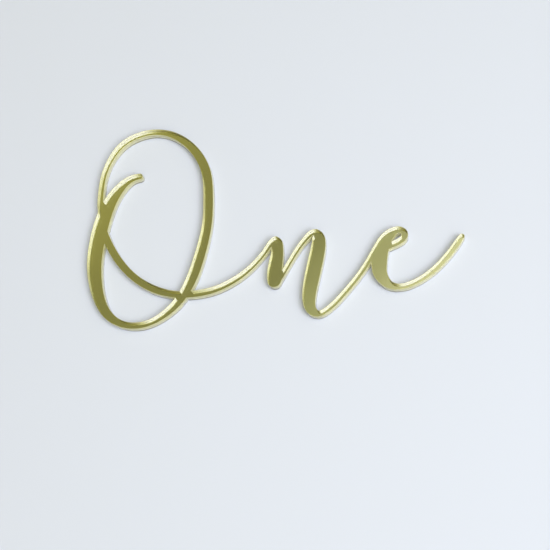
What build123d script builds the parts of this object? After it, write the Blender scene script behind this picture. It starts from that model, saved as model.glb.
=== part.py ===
"""A flat cake topper: the number word One, cut in one piece from gold mirror sheet.

The sheet is a bonded laminate of three layers, and the cutter takes all three to the same outline:
a tinted clear acrylic face, the metal mirror coat behind it, and the paint that guards the coat.
The word lies flat, face up. +X runs along the word, +Y up the letters, +Z out of the mirror face.
The origin is under the middle of the outline, on the plane that the painted back rests on.
"""

import os

from build123d import *

# The laminate, in millimetres from the back to the face
PAINT_THICKNESS = 0.10
COAT_THICKNESS = 0.05
FACE_THICKNESS = 2.85

# The pen that the word is drawn with
WORD_RUN = 146.0
CAPITAL_RISE = 85.0
HAIRLINE_WIDTH = 2.0
STEM_WIDTH = 6.8

# How many places are set out along the pen's path between two stations of a stroke
PLACES_PER_STATION = 4

# Stations of the pen: along the word as a share of WORD_RUN, up the letter as a share of CAPITAL_RISE,
# and the pen's weight, from 0 for the hairline to 1 for the full stem.

# The capital from its hook, down the stem and round the bowl to its top
BOWL_SHARES = [
    (0.0995, 0.758, 0.16),
    (0.072, 0.742, 0.31),
    (0.045, 0.695, 0.55),
    (0.017, 0.596, 0.87),
    (0.003, 0.470, 0.99),
    (-0.001, 0.374, 0.95),
    (0.002, 0.282, 0.88),
    (0.013, 0.196, 0.73),
    (0.030, 0.119, 0.54),
    (0.062, 0.042, 0.34),
    (0.101, 0.003, 0.17),
    (0.138, -0.006, 0.15),
    (0.180, 0.010, 0.16),
    (0.2165, 0.049, 0.26),
    (0.2525, 0.115, 0.40),
    (0.278, 0.201, 0.52),
    (0.302, 0.369, 0.52),
    (0.311, 0.499, 0.45),
    (0.306, 0.654, 0.44),
    (0.293, 0.776, 0.41),
    (0.2655, 0.867, 0.36),
    (0.2375, 0.921, 0.31),
    (0.188, 0.978, 0.21),
    (0.137, 0.999, 0.13),
]
# The capital's return from its top, behind the stem and through the bowl, to the first arch
RETURN_SHARES = [
    (0.137, 0.999, 0.13),
    (0.085, 0.986, 0.16),
    (0.035, 0.933, 0.18),
    (0.008, 0.860, 0.13),
    (-0.007, 0.769, 0.10),
    (-0.009, 0.689, 0.10),
    (-0.006, 0.609, 0.11),
    (0.002, 0.542, 0.14),
    (0.016, 0.468, 0.21),
    (0.034, 0.406, 0.25),
    (0.0525, 0.357, 0.25),
    (0.087, 0.285, 0.23),
    (0.134, 0.217, 0.22),
    (0.181, 0.175, 0.23),
    (0.226, 0.153, 0.19),
    (0.268, 0.148, 0.17),
    (0.309, 0.155, 0.19),
    (0.351, 0.174, 0.18),
    (0.391, 0.208, 0.16),
    (0.430, 0.258, 0.12),
    (0.462, 0.318, 0.07),
    (0.484, 0.373, 0.08),
    (0.498, 0.412, 0.11),
    (0.508, 0.423, 0.12),
    (0.514, 0.415, 0.12),
    (0.519, 0.398, 0.13),
]
# The first stem of the middle letter
FIRST_STEM_SHARES = [
    (0.512, 0.393, 0.58),
    (0.514, 0.368, 0.59),
    (0.513, 0.320, 0.71),
    (0.511, 0.271, 0.80),
    (0.512, 0.217, 0.72),
]
# The thin upstroke that springs from the foot of that stem
UPSTROKE_SHARES = [
    (0.521, 0.210, 0.06),
    (0.547, 0.299, 0.00),
    (0.571, 0.379, 0.03),
    (0.595, 0.438, 0.10),
    (0.608, 0.456, 0.13),
    (0.619, 0.455, 0.13),
    (0.628, 0.442, 0.14),
    (0.633, 0.422, 0.17),
]
# The second stem, its turn at the foot and the hairline on to the last letter
SECOND_STEM_SHARES = [
    (0.6245, 0.422, 0.68),
    (0.625, 0.392, 0.77),
    (0.620, 0.320, 0.84),
    (0.614, 0.247, 0.84),
    (0.609, 0.174, 0.76),
    (0.609, 0.126, 0.63),
    (0.614, 0.089, 0.48),
    (0.625, 0.066, 0.28),
    (0.639, 0.060, 0.09),
    (0.654, 0.073, 0.07),
    (0.691, 0.137, 0.06),
    (0.715, 0.190, 0.06),
    (0.7395, 0.2495, 0.05),
    (0.763, 0.3195, 0.06),
    (0.779, 0.375, 0.08),
    (0.792, 0.415, 0.08),
]
# The eye of the last letter, from its crossbar round to its top
EYE_SHARES = [
    (0.808, 0.380, 0.09),
    (0.831, 0.4005, 0.14),
    (0.846, 0.417, 0.13),
    (0.854, 0.438, 0.12),
    (0.851, 0.457, 0.12),
    (0.841, 0.466, 0.15),
]
# The back of the last letter and its tail
TAIL_SHARES = [
    (0.841, 0.466, 0.15),
    (0.816, 0.447, 0.44),
    (0.800, 0.406, 0.71),
    (0.791, 0.343, 0.85),
    (0.790, 0.290, 0.83),
    (0.794, 0.254, 0.69),
    (0.805, 0.222, 0.47),
    (0.821, 0.198, 0.24),
    (0.841, 0.190, 0.09),
    (0.865, 0.197, 0.07),
    (0.8915, 0.218, 0.07),
    (0.9215, 0.254, 0.08),
    (0.9495, 0.3015, 0.09),
    (0.975, 0.357, 0.10),
    (0.994, 0.407, 0.10),
    (1.003, 0.432, 0.04),
]
# A stroke is drawn in one go, in passes that do not cross themselves; each pass starts where the last ended
STROKES = [
    [BOWL_SHARES, RETURN_SHARES],
    [FIRST_STEM_SHARES],
    [UPSTROKE_SHARES],
    [SECOND_STEM_SHARES],
    [EYE_SHARES, TAIL_SHARES],
]


def pen_station(along_share, up_share, weight_share):
    """A station of the pen: its place on the sheet, with the pen's width there in place of a height."""
    width = HAIRLINE_WIDTH + weight_share * (STEM_WIDTH - HAIRLINE_WIDTH)
    return Vector(along_share * WORD_RUN, up_share * CAPITAL_RISE, width)


def pen_pass(spine, start, end, places, round_start, round_end):
    """The face that the pen covers along part of its spine, square where it joins the next pass."""
    left_side = []
    right_side = []
    for place in range(places + 1):
        fraction = start + (end - start) * place / places
        here = spine @ fraction
        ahead = spine % fraction
        centre = Vector(here.X, here.Y)
        forward = Vector(ahead.X, ahead.Y).normalized() * (here.Z / 2)
        across = Vector(-forward.Y, forward.X)
        left_side.append(centre + across)
        right_side.append(centre - across)
        if place == 0:
            start_tip = centre - forward
        end_tip = centre + forward
    with BuildSketch() as covered:
        with BuildLine():
            Spline(*left_side)
            if round_end:
                ThreePointArc(left_side[-1], end_tip, right_side[-1])
            else:
                Line(left_side[-1], right_side[-1])
            Spline(*reversed(right_side))
            if round_start:
                ThreePointArc(right_side[0], start_tip, left_side[0])
            else:
                Line(right_side[0], left_side[0])
        make_face()
    return covered.sketch


def pen_stroke(passes):
    """One stroke of the pen with round ends, as a list of the faces of its passes."""
    stations = [pen_station(*passes[0][0])]
    for shares in passes:
        for station in shares[1:]:
            stations.append(pen_station(*station))
    with BuildLine() as path:
        Spline(*stations)
    spine = path.edges()[0]
    faces = []
    for number, shares in enumerate(passes):
        faces.append(
            pen_pass(
                spine,
                spine.param_at_point(pen_station(*shares[0])),
                spine.param_at_point(pen_station(*shares[-1])),
                PLACES_PER_STATION * (len(shares) - 1),
                round_start=number == 0,
                round_end=number == len(passes) - 1,
            )
        )
    return faces


# The word as one flat outline, then set with its middle over the origin
with BuildSketch() as word:
    for stroke in STROKES:
        for face in pen_stroke(stroke):
            add(face)
middle = word.sketch.bounding_box().center()

with BuildSketch() as outline:
    with Locations((-middle.X, -middle.Y)):
        add(word.sketch)

os.makedirs("parts", exist_ok=True)

# The paint that guards the mirror coat, and that the topper rests on
with BuildPart() as back_paint:
    with BuildSketch(Plane.XY):
        add(outline.sketch)
    extrude(amount=PAINT_THICKNESS)
back_paint.part.label = "back_paint"
export_step(back_paint.part, "parts/back_paint.step")

# The metal coat that makes the sheet a mirror
coat_base = PAINT_THICKNESS
with BuildPart() as mirror_coat:
    with BuildSketch(Plane.XY.offset(coat_base)):
        add(outline.sketch)
    extrude(amount=COAT_THICKNESS)
mirror_coat.part.label = "mirror_coat"
export_step(mirror_coat.part, "parts/mirror_coat.step")

# The tinted clear acrylic that the mirror is seen through
face_base = coat_base + COAT_THICKNESS
with BuildPart() as face_sheet:
    with BuildSketch(Plane.XY.offset(face_base)):
        add(outline.sketch)
    extrude(amount=FACE_THICKNESS)
face_sheet.part.label = "face_sheet"
export_step(face_sheet.part, "parts/face_sheet.step")
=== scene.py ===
"""Looks of a laser-cut mirror word: its three bonded layers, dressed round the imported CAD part."""

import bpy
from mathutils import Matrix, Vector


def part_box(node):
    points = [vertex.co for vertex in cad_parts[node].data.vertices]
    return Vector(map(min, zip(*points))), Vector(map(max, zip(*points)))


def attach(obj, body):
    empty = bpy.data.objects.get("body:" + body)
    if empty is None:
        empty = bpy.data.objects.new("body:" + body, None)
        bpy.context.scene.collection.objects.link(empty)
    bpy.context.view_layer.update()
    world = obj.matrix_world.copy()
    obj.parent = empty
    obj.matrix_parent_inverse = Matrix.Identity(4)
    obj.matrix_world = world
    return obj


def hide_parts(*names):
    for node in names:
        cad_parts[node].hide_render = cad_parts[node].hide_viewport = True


bl_info = {
    "name": "Mirror Word Topper",
    "version": (1, 0, 0),
    "blender": (4, 5, 0),
    "location": "View3D > Sidebar > Topper",
    "description": "Dresses the bonded layers of a word cut from gold mirror sheet",
    "category": "Object",
}

import math

import bpy
import numpy as np
from mathutils import Matrix, Vector
from mathutils.geometry import delaunay_2d_cdt

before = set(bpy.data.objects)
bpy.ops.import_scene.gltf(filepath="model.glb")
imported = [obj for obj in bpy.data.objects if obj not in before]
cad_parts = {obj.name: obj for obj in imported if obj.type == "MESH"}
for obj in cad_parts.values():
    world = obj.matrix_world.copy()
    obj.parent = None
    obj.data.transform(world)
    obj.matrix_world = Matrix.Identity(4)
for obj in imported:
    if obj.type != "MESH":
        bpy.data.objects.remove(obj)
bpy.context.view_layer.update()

# The layers, in the order that the sheet is made in, with the record's slots
FACE, COAT, PAINT = "face_sheet", "mirror_coat", "back_paint"
BODY = "root"

# The camera's picture: its side in pixels, what one spans at the word, the sensor, and the nearest it sees
PICTURE_PIXELS = 550
PIXEL_SPAN = 0.000392
SENSOR_WIDTH = 36.0
NEAREST_SEEN = 0.01

# Reading the CAD outline: the least rise of a normal on a layer's top, and the digits that tell corners apart
TOP_FACING = 0.9
CORNER_DIGITS = 7

# The least that a mitre is divided by, so that a sharp crease can't shoot far past its corner
MITRE_LIMIT = 0.3

# Rows that draw the round edge of the face, and of the paint
FACE_EDGE_ROWS = 5
PAINT_EDGE_ROWS = 2

# The range that most values of a noise lie in
NOISE_RANGE = (0.3, 0.7)

# The acrylic: how it bends light, and how clear its melted walls still are
ACRYLIC_IOR = 1.49
WALL_CLARITY = 0.55

# Heights on a cut wall over which its foot's tint passes into its edge's, and over which the painted shade at
# its foot fades out
PALE_HEIGHTS = (0.0006, 0.0024)
FOOT_SHADE_HEIGHTS = (0.0005, 0.0009)

# The way that walls face which get a painted shade at their foot, where the lamp's light doesn't reach, how a
# wall faces it from no shade to most, and the most
FOOT_SHADE_WAY = (-0.60, -0.80, 0)
FOOT_SHADE_FACING = (-0.25, 0.7)
FOOT_SHADE_MOST = 0.9

# The table: its radius and the flat share of it, the rise of its rim, and the sides and rows that draw it
TABLE_RADIUS = 2.4
TABLE_FLAT_SHARE = 0.55
TABLE_RISE = 0.75
TABLE_SIDES = 96
TABLE_ROWS = 10

# The ways that the room's light changes: along the word over its back and its foot, from foot to back, and up
BACK_WAY = (0.758, -0.682, 0)
FOOT_WAY = (0.86, -0.51, 0)
ACROSS_WAY = (0.51, 0.86, 0)
UP_WAY = (0, 0, 1)

# Where the light over the foot passes into that over the back, and the low light into that from overhead
FOOT_TO_BACK = (-0.02, 0.08)
LOW_TO_OVERHEAD = (0.77, 0.84)

# What the light from overhead keeps of its colours on dull surfaces: its blue is for the mirror
DULL_SHARE = (1.0, 0.99, 0.55)

# The room's light by how far a direction points along the word: over its back, over its foot, and low down
OVER_BACK = [
    (-0.60, (0.50, 0.48, 0.25)),
    (-0.48, (0.29, 0.28, 0.18)),
    (-0.39, (0.29, 0.29, 0.23)),
    (-0.35, (0.45, 0.46, 0.43)),
    (-0.33, (0.50, 0.50, 0.50)),
    (-0.29, (0.83, 0.84, 1.00)),
    (-0.15, (0.86, 0.84, 1.02)),
    (0.00, (1.50, 1.50, 2.05)),
    (0.30, (1.75, 1.80, 3.50)),
]
OVER_FOOT = [
    (-0.46, (0.18, 0.17, 0.06)),
    (-0.40, (0.11, 0.10, 0.04)),
    (-0.28, (0.29, 0.27, 0.10)),
    (-0.10, (0.50, 0.46, 0.30)),
    (0.05, (0.96, 0.96, 1.12)),
    (0.22, (1.68, 1.72, 3.20)),
    (0.30, (1.80, 1.84, 3.80)),
]
LOW_DOWN = [
    (-0.80, (0.25, 0.24, 0.16)),
    (-0.10, (0.43, 0.415, 0.27)),
    (0.80, (1.10, 1.07, 0.62)),
]


class TopperCut(bpy.types.PropertyGroup):
    """How the cutter leaves the edges of the sheet."""

    spacing: bpy.props.FloatProperty(
        name="Spacing",
        description="Longest step between two places along the cut",
        default=0.0005,
        subtype="DISTANCE",
    )
    turn: bpy.props.FloatProperty(
        name="Turn",
        description="Largest turn between two places on a round stretch",
        default=math.radians(4),
        subtype="ANGLE",
    )
    corner: bpy.props.FloatProperty(
        name="Corner",
        description="A turn sharper than this is a crease, as where two strokes meet",
        default=math.radians(32),
        subtype="ANGLE",
    )
    edge_round: bpy.props.FloatProperty(
        name="Edge round",
        description="Radius of the edge that the beam melts round on the face",
        default=0.00013,
        subtype="DISTANCE",
    )
    contact: bpy.props.FloatProperty(
        name="Contact",
        description="How deep the mirror coat is bedded in the acrylic, so that no air lies between them",
        default=0.00002,
        subtype="DISTANCE",
    )
    burn_back: bpy.props.FloatProperty(
        name="Burn back",
        description="How far the beam takes the mirror coat back from the cut",
        default=0.00001,
        subtype="DISTANCE",
    )
    paint_round: bpy.props.FloatProperty(
        name="Paint round",
        description="Radius of the lower edge of the paint",
        default=0.00004,
        subtype="DISTANCE",
    )


class TopperFinish(bpy.types.PropertyGroup):
    """Colours of the sheet's layers."""

    tint: bpy.props.FloatVectorProperty(
        name="Tint",
        description="Tint of the acrylic for light that goes in and comes out again",
        default=(0.96, 0.94, 0.76),
        subtype="COLOR",
    )
    cut_edge: bpy.props.FloatVectorProperty(
        name="Cut edge",
        description="Pale tint of the acrylic where the beam has melted it",
        default=(0.96, 0.93, 0.55),
        subtype="COLOR",
    )
    cut_foot: bpy.props.FloatVectorProperty(
        name="Cut foot",
        description="Paler tint of the melted acrylic towards the mirror",
        default=(0.98, 0.97, 0.90),
        subtype="COLOR",
    )
    gold: bpy.props.FloatVectorProperty(
        name="Gold",
        description="Colour of the mirror coat",
        default=(0.83, 0.83, 0.40),
        subtype="COLOR",
    )
    paint: bpy.props.FloatVectorProperty(
        name="Paint",
        description="Colour of the paint on the back",
        default=(0.36, 0.37, 0.38),
        subtype="COLOR",
    )
    # This colour browns the paint's edge, and it also paints the shade along the foot of the walls that the
    # lamp doesn't light
    scorch_and_foot_shade: bpy.props.FloatVectorProperty(
        name="Scorch",
        description="Colour of the paint's edge and the foot of the cut, where the beam has browned them",
        default=(0.12, 0.11, 0.08),
        subtype="COLOR",
    )


class TopperStage(bpy.types.PropertyGroup):
    """The table, the room's light and the camera."""

    floor: bpy.props.FloatVectorProperty(
        name="Floor",
        description="Colour of the table",
        default=(0.685, 0.715, 0.84),
        subtype="COLOR",
    )
    target: bpy.props.FloatVectorProperty(
        name="Target",
        description="Point on the table in the middle of the picture",
        default=(0.00217, -0.0202, 0.0),
        subtype="TRANSLATION",
    )
    distance: bpy.props.FloatProperty(
        name="Distance",
        description="From the camera to its target",
        default=0.45,
        subtype="DISTANCE",
    )
    tilt: bpy.props.FloatProperty(
        name="Tilt",
        description="Angle of the camera from straight overhead",
        default=math.radians(24.0),
        subtype="ANGLE",
    )
    swing: bpy.props.FloatProperty(
        name="Swing",
        description="Angle of the camera round the word, from its foot towards its end",
        default=math.radians(29.5),
        subtype="ANGLE",
    )
    lamp_power: bpy.props.FloatProperty(
        name="Lamp power",
        description="Power of the soft lamp",
        default=2.5,
        unit="POWER",
    )
    lamp_colour: bpy.props.FloatVectorProperty(
        name="Lamp colour",
        description="Colour of the soft lamp",
        default=(0.90, 0.94, 1.0),
        subtype="COLOR",
    )
    lamp_size: bpy.props.FloatProperty(
        name="Lamp size",
        description="Width of the soft lamp",
        default=0.65,
        subtype="DISTANCE",
    )
    lamp_spread: bpy.props.FloatProperty(
        name="Lamp spread",
        description="Angle of the soft lamp's beam",
        default=math.radians(110),
        subtype="ANGLE",
    )
    lamp_distance: bpy.props.FloatProperty(
        name="Lamp distance",
        description="From the word to the soft lamp",
        default=1.0,
        subtype="DISTANCE",
    )
    lamp_rise: bpy.props.FloatProperty(
        name="Lamp rise",
        description="Angle of the soft lamp above the table",
        default=math.radians(46),
        subtype="ANGLE",
    )
    lamp_swing: bpy.props.FloatProperty(
        name="Lamp swing",
        description="Angle of the soft lamp round the word, from its end",
        default=math.radians(-30),
        subtype="ANGLE",
    )


def rim_loops(node):
    """Outline of a layer's top as closed loops of points, each with the sheet on its left."""
    mesh = node.data
    steps = set()
    for face in mesh.polygons:
        if face.normal.z > TOP_FACING:
            ring = [tuple(round(x, CORNER_DIGITS) for x in mesh.vertices[i].co.xy) for i in face.vertices]
            steps.update(zip(ring, ring[1:] + ring[:1]))
    following = {a: b for a, b in sorted(steps) if (b, a) not in steps}
    loops = []
    while following:
        start, here = following.popitem()
        loop = [start]
        while here != start:
            loop.append(here)
            here = following.pop(here)
        loops.append(np.array(loop))
    return loops


def unit(rows):
    """Each row at length one."""
    return rows / np.linalg.norm(rows, axis=-1, keepdims=True)


def outward(ways):
    """The direction away from the sheet, for directions along a loop."""
    return np.stack([ways[..., 1], -ways[..., 0]], axis=-1)


def smooth_step(u, start, end, run, leave, arrive):
    """Places and directions at the shares u of a smooth line between two points, given its way at each."""
    line = (
        (2 * u**3 - 3 * u**2 + 1) * start
        + (u**3 - 2 * u**2 + u) * run * leave
        + (3 * u**2 - 2 * u**3) * end
        + (u**3 - u**2) * run * arrive
    )
    way = unit(
        6 * (u**2 - u) * (start - end) / run
        + (3 * u**2 - 4 * u + 1) * leave
        + (3 * u**2 - 2 * u) * arrive
    )
    return line, way


def smooth_cut(points, cut):
    """A loop redrawn as a smooth line through its points.

    Returns the places along it, and which way the wall faces just before and just after each place.
    """
    chord = np.roll(points, -1, axis=0) - points
    run = np.linalg.norm(chord, axis=1)[:, None]
    slope = chord / run
    slope_before, run_before = np.roll(slope, 1, axis=0), np.roll(run, 1, axis=0)
    tangent = (run_before * slope + run * slope_before) / (run + run_before)
    turn = np.arccos(np.clip((slope * slope_before).sum(axis=1), -1, 1))
    crease = turn > cut.corner
    count = len(points)
    places, facing_before, facing_after = [], [], []
    last_way = None
    for i in range(count):
        j = (i + 1) % count
        leave, arrive = tangent[i], tangent[j]
        if crease[i]:
            leave = slope[i] if crease[j] else 2 * slope[i] - tangent[j]
        if crease[j]:
            arrive = slope[i] if crease[i] else 2 * slope[i] - tangent[i]
        bend = math.acos(max(-1.0, min(1.0, float(unit(leave) @ unit(arrive)))))
        pieces = math.ceil(max(1.0, run[i, 0] / cut.spacing, bend / cut.turn))
        u = (np.arange(pieces + 1) / pieces)[:, None]
        line, way = smooth_step(u, points[i], points[j], run[i], leave, arrive)
        places.append(line[:-1])
        facing_after.append(way[:-1])
        facing_before.append(np.vstack([way[:1] if last_way is None else last_way, way[1:-1]]))
        last_way = way[-1:]
    facing_before[0][:1] = last_way
    return np.vstack(places), outward(np.vstack(facing_before)), outward(np.vstack(facing_after))


def outlines(context):
    """The word's cut as smooth loops, read from the CAD face sheet."""
    cut = context.scene.topper_cut
    return [smooth_cut(points, cut) for points in rim_loops(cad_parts[FACE])]


def ring_places(loop, inset):
    """A loop drawn in from the cut by a small distance, with its creases mitred."""
    places, before, after = loop
    closeness = 1 + (before * after).sum(axis=1, keepdims=True)
    mitre = (before + after) / np.maximum(closeness, MITRE_LIMIT)
    return places - inset * mitre


def inside(point, starts, ends):
    """True if a line from the point crosses the outline an odd number of times."""
    spans = (starts[:, 1] > point[1]) != (ends[:, 1] > point[1])
    low, high = starts[spans], ends[spans]
    cross = low[:, 0] + (point[1] - low[:, 1]) * (high - low)[:, 0] / (high - low)[:, 1]
    return np.count_nonzero(cross > point[0]) % 2 == 1


def cap_faces(rings):
    """Triangles that fill the sheet between the loops of one level, as numbers of their places."""
    rim = []
    for ring in rings:
        first, count = len(rim), len(ring)
        rim.extend((first + k, first + (k + 1) % count) for k in range(count))
    points = np.vstack(rings)
    within_rim, nearness = 1, 1e-9
    filled = delaunay_2d_cdt([Vector(p) for p in points], rim, [], within_rim, nearness)
    corners, triangles, sources = filled[0], filled[2], filled[3]
    if len(corners) != len(points):
        raise RuntimeError("the outline crosses itself, so its face can't be filled")
    numbered = [[sources[i][0] for i in triangle] for triangle in triangles]
    starts, ends = points[[a for a, b in rim]], points[[b for a, b in rim]]
    return [triangle for triangle in numbered if inside(points[triangle].mean(axis=0), starts, ends)]


def layer_mesh(name, loops, profile):
    """A closed mesh whose walls follow the loops.

    A row of the profile is an inset from the cut, a height, and how far the wall leans back there: a
    quarter turn faces up. The first material goes on the two flat faces and the second on the walls.
    """
    vertices, faces, normals, on_wall = [], [], [], []
    level_size = sum(len(loop[0]) for loop in loops)
    levels = [[ring_places(loop, inset) for loop in loops] for inset, z, lean in profile]
    for (inset, z, lean), rings in zip(profile, levels):
        vertices.extend((x, y, z) for ring in rings for x, y in ring)
    for level in range(len(profile) - 1):
        first = level * level_size
        leans = [profile[level][2], profile[level][2], profile[level + 1][2], profile[level + 1][2]]
        for places, before, after in loops:
            count = len(places)
            for k in range(count):
                n = (k + 1) % count
                faces.append([first + k, first + n, first + n + level_size, first + k + level_size])
                on_wall.append(1)
                for facing, lean in zip((after[k], before[n], before[n], after[k]), leans):
                    flat = math.cos(lean)
                    normals.append((facing[0] * flat, facing[1] * flat, math.sin(lean)))
            first += count
    for level, up in ((0, -1), (len(profile) - 1, 1)):
        for triangle in cap_faces(levels[level]):
            faces.append([level * level_size + k for k in triangle[::up]])
            on_wall.append(0)
            normals.extend([(0, 0, up)] * 3)
    mesh = bpy.data.meshes.new(name)
    mesh.from_pydata(vertices, [], faces)
    mesh.shade_smooth()
    mesh.polygons.foreach_set("material_index", on_wall)
    mesh.normals_split_custom_set(normals)
    mesh.update()
    return mesh


def round_edge(radius, face_z, steps, up):
    """Profile rows of a quarter-round edge: up a wall to the face above it, or up from the face below it."""
    rows = []
    for step in range(1, steps + 1):
        lean = math.pi / 2 * step / steps
        inset, drop = radius * (1 - math.cos(lean)), radius * (1 - math.sin(lean))
        rows.append((inset, face_z - up * drop, up * lean))
    return rows[::up]


def place_layer(node, loops, profile, finishes):
    """Makes the piece that stands for a CAD layer, and lets it ride on the word."""
    piece = bpy.data.objects.new(f"{node}_piece", layer_mesh(f"{node}_piece", loops, profile))
    bpy.context.scene.collection.objects.link(piece)
    for finish in finishes:
        piece.data.materials.append(finish)
    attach(piece, BODY)
    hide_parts(node)


def new_finish(name):
    """A material with nodes, its node tree and its Principled shader."""
    finish = bpy.data.materials.new(name)
    finish.use_nodes = True
    return finish, finish.node_tree, finish.node_tree.nodes["Principled BSDF"]


def noise(tree, scale, detail=2.0, stretch=(1, 1, 1), turn=0.0):
    """Noise in the sheet's own metres, finer along an axis by its stretch, and then turned about Z."""
    place = tree.nodes.new("ShaderNodeTexCoord")
    mapping = tree.nodes.new("ShaderNodeMapping")
    mapping.inputs["Scale"].default_value = stretch
    mapping.inputs["Rotation"].default_value = (0, 0, turn)
    texture = tree.nodes.new("ShaderNodeTexNoise")
    texture.inputs["Scale"].default_value = scale
    texture.inputs["Detail"].default_value = detail
    tree.links.new(place.outputs["Object"], mapping.inputs["Vector"])
    tree.links.new(mapping.outputs["Vector"], texture.inputs["Vector"])
    return texture.outputs["Fac"]


def spread(tree, source, low, high, span=NOISE_RANGE):
    """Values from low to high as the source goes over its span."""
    node = tree.nodes.new("ShaderNodeMapRange")
    node.inputs["From Min"].default_value, node.inputs["From Max"].default_value = span
    node.inputs["To Min"].default_value = low
    node.inputs["To Max"].default_value = high
    tree.links.new(source, node.inputs["Value"])
    return node.outputs["Result"]


def pair(tree, operation, first, second):
    """Two values put together, as by MAXIMUM or MULTIPLY."""
    node = tree.nodes.new("ShaderNodeMath")
    node.operation = operation
    tree.links.new(first, node.inputs[0])
    tree.links.new(second, node.inputs[1])
    return node.outputs["Value"]


def shades(tree, source, colour, depth):
    """A colour that is darker by a share of depth where the source is low."""
    ramp = tree.nodes.new("ShaderNodeValToRGB")
    low, high = ramp.color_ramp.elements
    low.position, high.position = NOISE_RANGE
    low.color = (*(c * (1 - depth) for c in colour), 1)
    high.color = (*colour, 1)
    tree.links.new(source, ramp.inputs["Fac"])
    return ramp.outputs["Color"]


def mixed(tree, share, first, second, blend="MIX"):
    """The first colour, taken towards the second, or towards its product with it, by a share."""
    node = tree.nodes.new("ShaderNodeMix")
    node.data_type, node.blend_type = "RGBA", blend
    tree.links.new(share, node.inputs["Factor"])
    tree.links.new(first, node.inputs["A"])
    if isinstance(second, bpy.types.NodeSocket):
        tree.links.new(second, node.inputs["B"])
    else:
        node.inputs["B"].default_value = (*second, 1)
    return node.outputs["Result"]


def melt(tree, source, span, first, second):
    """A colour that passes softly from the first to the second as the source goes over its span."""
    share = tree.nodes.new("ShaderNodeMapRange")
    share.interpolation_type = "SMOOTHSTEP"
    share.inputs["From Min"].default_value, share.inputs["From Max"].default_value = span
    tree.links.new(source, share.inputs["Value"])
    return mixed(tree, share.outputs["Result"], first, second)


def ramp_node(tree, source, stops):
    """Colours along a value that runs from -1 to 1."""
    share = spread(tree, source, 0, 1, (-1, 1))
    node = tree.nodes.new("ShaderNodeValToRGB")
    ramp = node.color_ramp
    while len(ramp.elements) < len(stops):
        ramp.elements.new(1)
    for element, (where, colour) in zip(ramp.elements, stops):
        element.position = (where + 1) / 2
        element.color = (*colour, 1)
    tree.links.new(share, node.inputs["Fac"])
    return node.outputs["Color"]


def along(tree, direction, way):
    """How far a direction points a way."""
    node = tree.nodes.new("ShaderNodeVectorMath")
    node.operation = "DOT_PRODUCT"
    node.inputs[1].default_value = way
    tree.links.new(direction, node.inputs[0])
    return node.outputs["Value"]


def height(tree):
    """How high a place is above the back of the sheet."""
    place = tree.nodes.new("ShaderNodeTexCoord")
    parts = tree.nodes.new("ShaderNodeSeparateXYZ")
    tree.links.new(place.outputs["Object"], parts.inputs["Vector"])
    return parts.outputs["Z"]


def relief(tree, source, depth):
    """A surface normal that follows the source as a height, in metres."""
    bump = tree.nodes.new("ShaderNodeBump")
    bump.inputs["Distance"].default_value = depth
    tree.links.new(source, bump.inputs["Height"])
    return bump.outputs["Normal"]


def polished_acrylic(colours):
    """The face of the acrylic: cast smooth, a slow wave in it, and the hairline rubs of handling."""
    finish, tree, shader = new_finish("polished_gold_acrylic")
    shader.inputs["Transmission Weight"].default_value = 1.0
    shader.inputs["IOR"].default_value = ACRYLIC_IOR
    cloud = noise(tree, scale=40)
    wave = noise(tree, scale=55, detail=1)
    polish = 0.004
    lengthwise = noise(tree, scale=60, detail=3, stretch=(1, 90, 1), turn=0.5)
    crosswise = noise(tree, scale=60, detail=3, stretch=(90, 1, 1), turn=0.2)
    rub_one = spread(tree, lengthwise, polish, 0.05, span=(0.66, 0.74))
    rub_two = spread(tree, crosswise, polish, 0.04, span=(0.67, 0.75))
    smudge = spread(tree, noise(tree, scale=160, detail=4), polish, 0.02)
    rough = pair(tree, "MAXIMUM", smudge, pair(tree, "MAXIMUM", rub_one, rub_two))
    tree.links.new(shades(tree, cloud, colours.tint, depth=0.04), shader.inputs["Base Color"])
    tree.links.new(rough, shader.inputs["Roughness"])
    tree.links.new(relief(tree, wave, depth=0.000006), shader.inputs["Normal"])
    return finish


def cut_acrylic(colours):
    """The walls of the acrylic: melted pale by the beam, with the fine upright lines of its pulses, and a
    painted shade at their foot on the side that the lamp doesn't light.
    """
    finish, tree, shader = new_finish("laser_cut_acrylic")
    shader.inputs["Transmission Weight"].default_value = WALL_CLARITY
    shader.inputs["IOR"].default_value = ACRYLIC_IOR
    pulses = noise(tree, scale=5000, detail=1, stretch=(1, 1, 0.02))
    drift = noise(tree, scale=350, stretch=(1, 1, 0.1))
    lower = shades(tree, drift, colours.cut_foot, depth=0.06)
    upper = shades(tree, drift, colours.cut_edge, depth=0.06)
    pale = melt(tree, height(tree), PALE_HEIGHTS, lower, upper)
    facing = tree.nodes.new("ShaderNodeNewGeometry").outputs["Normal"]
    # Painted shade: walls that face the word's start and foot are darkened towards the scorch colour near the
    # sheet's back, where the lamp's light doesn't reach
    shade_side = spread(tree, along(tree, facing, FOOT_SHADE_WAY), 0.0, FOOT_SHADE_MOST, span=FOOT_SHADE_FACING)
    foot = spread(tree, height(tree), 1.0, 0.0, span=FOOT_SHADE_HEIGHTS)
    pale_and_foot_shade = mixed(tree, pair(tree, "MULTIPLY", shade_side, foot), pale, colours.scorch_and_foot_shade)
    tree.links.new(pale_and_foot_shade, shader.inputs["Base Color"])
    tree.links.new(spread(tree, pulses, 0.03, 0.09), shader.inputs["Roughness"])
    tree.links.new(relief(tree, pulses, depth=0.000001), shader.inputs["Normal"])
    return finish


def mirror_metal(colours):
    """The mirror coat: bright metal, with the faint mottle of its film."""
    finish, tree, shader = new_finish("mirror_coat_metal")
    shader.inputs["Metallic"].default_value = 1.0
    film = noise(tree, scale=300, detail=3)
    tree.links.new(shades(tree, film, colours.gold, depth=0.03), shader.inputs["Base Color"])
    tree.links.new(spread(tree, film, 0.01, 0.03), shader.inputs["Roughness"])
    return finish


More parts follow.
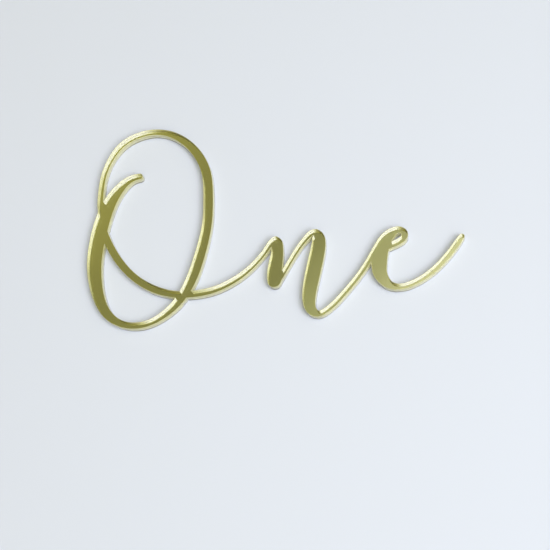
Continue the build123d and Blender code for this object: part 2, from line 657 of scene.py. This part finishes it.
def sprayed_paint(colours):
    """The paint on the back: satin, with the orange peel of a spray coat."""
    finish, tree, shader = new_finish("sprayed_back_paint")
    peel = noise(tree, scale=900)
    mottle = noise(tree, scale=90, detail=4)
    tree.links.new(shades(tree, mottle, colours.paint, depth=0.12), shader.inputs["Base Color"])
    tree.links.new(spread(tree, peel, 0.42, 0.6), shader.inputs["Roughness"])
    tree.links.new(relief(tree, peel, depth=0.00001), shader.inputs["Normal"])
    return finish


def scorched_paint(colours):
    """The edge of the paint, browned unevenly by the beam."""
    finish, tree, shader = new_finish("scorched_paint_edge")
    soot = noise(tree, scale=700, detail=4)
    tree.links.new(shades(tree, soot, colours.scorch_and_foot_shade, depth=0.5), shader.inputs["Base Color"])
    tree.links.new(spread(tree, soot, 0.65, 0.9), shader.inputs["Roughness"])
    return finish


class TOPPER_OT_face_sheet(bpy.types.Operator):
    """Make the tinted acrylic that the mirror is seen through"""

    bl_idname = "topper.face_sheet"
    bl_label = "Face sheet"

    def execute(self, context):
        cut, colours = context.scene.topper_cut, context.scene.topper_finish
        bottom, top = (corner.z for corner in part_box(FACE))
        profile = [(0, bottom - cut.contact, 0), (0, top - cut.edge_round, 0)]
        profile += round_edge(cut.edge_round, top, FACE_EDGE_ROWS, 1)
        place_layer(FACE, outlines(context), profile, [polished_acrylic(colours), cut_acrylic(colours)])
        return {"FINISHED"}


class TOPPER_OT_mirror_coat(bpy.types.Operator):
    """Make the metal film behind the acrylic"""

    bl_idname = "topper.mirror_coat"
    bl_label = "Mirror coat"

    def execute(self, context):
        cut = context.scene.topper_cut
        bottom, top = (corner.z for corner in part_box(COAT))
        profile = [(cut.burn_back, bottom, 0), (cut.burn_back, top, 0)]
        place_layer(COAT, outlines(context), profile, [mirror_metal(context.scene.topper_finish)] * 2)
        return {"FINISHED"}


class TOPPER_OT_back_paint(bpy.types.Operator):
    """Make the paint that guards the mirror coat"""

    bl_idname = "topper.back_paint"
    bl_label = "Back paint"

    def execute(self, context):
        cut, colours = context.scene.topper_cut, context.scene.topper_finish
        bottom, top = (corner.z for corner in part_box(PAINT))
        profile = round_edge(cut.paint_round, bottom, PAINT_EDGE_ROWS, -1)
        profile += [(0, bottom + cut.paint_round, 0), (0, top, 0)]
        place_layer(PAINT, outlines(context), profile, [sprayed_paint(colours), scorched_paint(colours)])
        return {"FINISHED"}


def lay_floor(colour):
    """A pale table top, swept up at its far rim so that a low view ends on it too."""
    vertices, faces = [], [list(range(TABLE_SIDES))]
    for row in range(TABLE_ROWS + 1):
        sweep = math.pi / 2 * row / TABLE_ROWS
        radius = TABLE_RADIUS * (TABLE_FLAT_SHARE + (1 - TABLE_FLAT_SHARE) * math.sin(sweep))
        z = TABLE_RISE * (1 - math.cos(sweep))
        for side in range(TABLE_SIDES):
            around = 2 * math.pi * side / TABLE_SIDES
            vertices.append((radius * math.cos(around), radius * math.sin(around), z))
    for row in range(TABLE_ROWS):
        inner, outer = row * TABLE_SIDES, (row + 1) * TABLE_SIDES
        for side in range(TABLE_SIDES):
            n = (side + 1) % TABLE_SIDES
            faces.append([outer + side, outer + n, inner + n, inner + side])
    mesh = bpy.data.meshes.new("floor")
    mesh.from_pydata(vertices, [], faces)
    mesh.shade_smooth()
    floor = bpy.data.objects.new("floor", mesh)
    bpy.context.scene.collection.objects.link(floor)
    finish, tree, shader = new_finish("pale_table")
    shader.inputs["Base Color"].default_value = (*colour, 1)
    shader.inputs["Roughness"].default_value = 0.8
    shader.inputs["Specular IOR Level"].default_value = 0.1
    mesh.materials.append(finish)


def light_room():
    """Soft light of the room that the mirror shows: bright at the word's end, and dim at its start."""
    world = bpy.data.worlds.new("room")
    world.use_nodes = True
    bpy.context.scene.world = world
    tree = world.node_tree
    direction = tree.nodes.new("ShaderNodeTexCoord").outputs["Generated"]
    over_foot = along(tree, direction, FOOT_WAY)
    foot, low = ramp_node(tree, over_foot, OVER_FOOT), ramp_node(tree, over_foot, LOW_DOWN)
    back = ramp_node(tree, along(tree, direction, BACK_WAY), OVER_BACK)
    overhead = melt(tree, along(tree, direction, ACROSS_WAY), FOOT_TO_BACK, foot, back)
    dull = tree.nodes.new("ShaderNodeLightPath").outputs["Is Diffuse Ray"]
    overhead = mixed(tree, dull, overhead, DULL_SHARE, "MULTIPLY")
    room = melt(tree, along(tree, direction, UP_WAY), LOW_TO_OVERHEAD, low, overhead)
    tree.links.new(room, tree.nodes["Background"].inputs["Color"])


def hang_lamp(stage):
    """A wide soft lamp to the right of the word, which throws its shadow to the left."""
    data = bpy.data.lights.new("soft_lamp", "AREA")
    data.shape = "DISK"
    data.size = stage.lamp_size
    data.spread = stage.lamp_spread
    data.energy = stage.lamp_power
    data.color = stage.lamp_colour
    lamp = bpy.data.objects.new("soft_lamp", data)
    # Seen through the acrylic, the lamp would lie on the mirror as a white patch
    lamp.visible_transmission = False
    bpy.context.scene.collection.objects.link(lamp)
    away = Vector((math.cos(stage.lamp_swing), math.sin(stage.lamp_swing), 0)) * math.cos(stage.lamp_rise)
    away.z = math.sin(stage.lamp_rise)
    lamp.location = away * stage.lamp_distance
    lamp.rotation_euler = away.to_track_quat("Z", "Y").to_euler()


def set_camera(stage):
    """The camera at the picture's viewing angle, with the word level in the frame."""
    back = Vector((
        math.sin(stage.swing) * math.sin(stage.tilt),
        -math.cos(stage.swing) * math.sin(stage.tilt),
        math.cos(stage.tilt),
    ))
    word_way = Vector((1, 0, 0))
    right = (word_way - back * word_way.dot(back)).normalized()
    up = back.cross(right)
    data = bpy.data.cameras.new("camera")
    data.sensor_width = SENSOR_WIDTH
    data.lens = SENSOR_WIDTH * stage.distance / (PIXEL_SPAN * PICTURE_PIXELS)
    data.clip_start = NEAREST_SEEN
    camera = bpy.data.objects.new("camera", data)
    bpy.context.scene.collection.objects.link(camera)
    turned = Matrix((right, up, back)).transposed().to_4x4()
    camera.matrix_world = Matrix.Translation(Vector(stage.target) + back * stage.distance) @ turned
    bpy.context.scene.camera = camera


class TOPPER_OT_stage(bpy.types.Operator):
    """Lay the table, light the room and set the camera"""

    bl_idname = "topper.stage"
    bl_label = "Stage"

    def execute(self, context):
        stage = context.scene.topper_stage
        context.scene.view_settings.view_transform = "Standard"
        lay_floor(stage.floor)
        light_room()
        hang_lamp(stage)
        set_camera(stage)
        return {"FINISHED"}


OPERATORS = (TOPPER_OT_back_paint, TOPPER_OT_mirror_coat, TOPPER_OT_face_sheet, TOPPER_OT_stage)


class VIEW3D_PT_topper(bpy.types.Panel):
    """The topper's pieces and settings"""

    bl_label = "Mirror word topper"
    bl_space_type = "VIEW_3D"
    bl_region_type = "UI"
    bl_category = "Topper"

    def draw(self, context):
        for operator in OPERATORS:
            self.layout.operator(operator.bl_idname)
        for group in (context.scene.topper_cut, context.scene.topper_finish, context.scene.topper_stage):
            box = self.layout.box()
            for name in group.__annotations__:
                box.prop(group, name)


CLASSES = (TopperCut, TopperFinish, TopperStage, *OPERATORS, VIEW3D_PT_topper)


def register():
    """Adds the add-on's classes and its settings to Blender."""
    for cls in CLASSES:
        bpy.utils.register_class(cls)
    bpy.types.Scene.topper_cut = bpy.props.PointerProperty(type=TopperCut)
    bpy.types.Scene.topper_finish = bpy.props.PointerProperty(type=TopperFinish)
    bpy.types.Scene.topper_stage = bpy.props.PointerProperty(type=TopperStage)


def unregister():
    """Takes them out again."""
    del bpy.types.Scene.topper_cut
    del bpy.types.Scene.topper_finish
    del bpy.types.Scene.topper_stage
    for cls in reversed(CLASSES):
        bpy.utils.unregister_class(cls)


def main():
    """Makes the pieces and the stage."""
    register()
    bpy.ops.topper.back_paint()
    bpy.ops.topper.mirror_coat()
    bpy.ops.topper.face_sheet()
    bpy.ops.topper.stage()


if __name__ == "__main__":
    main()
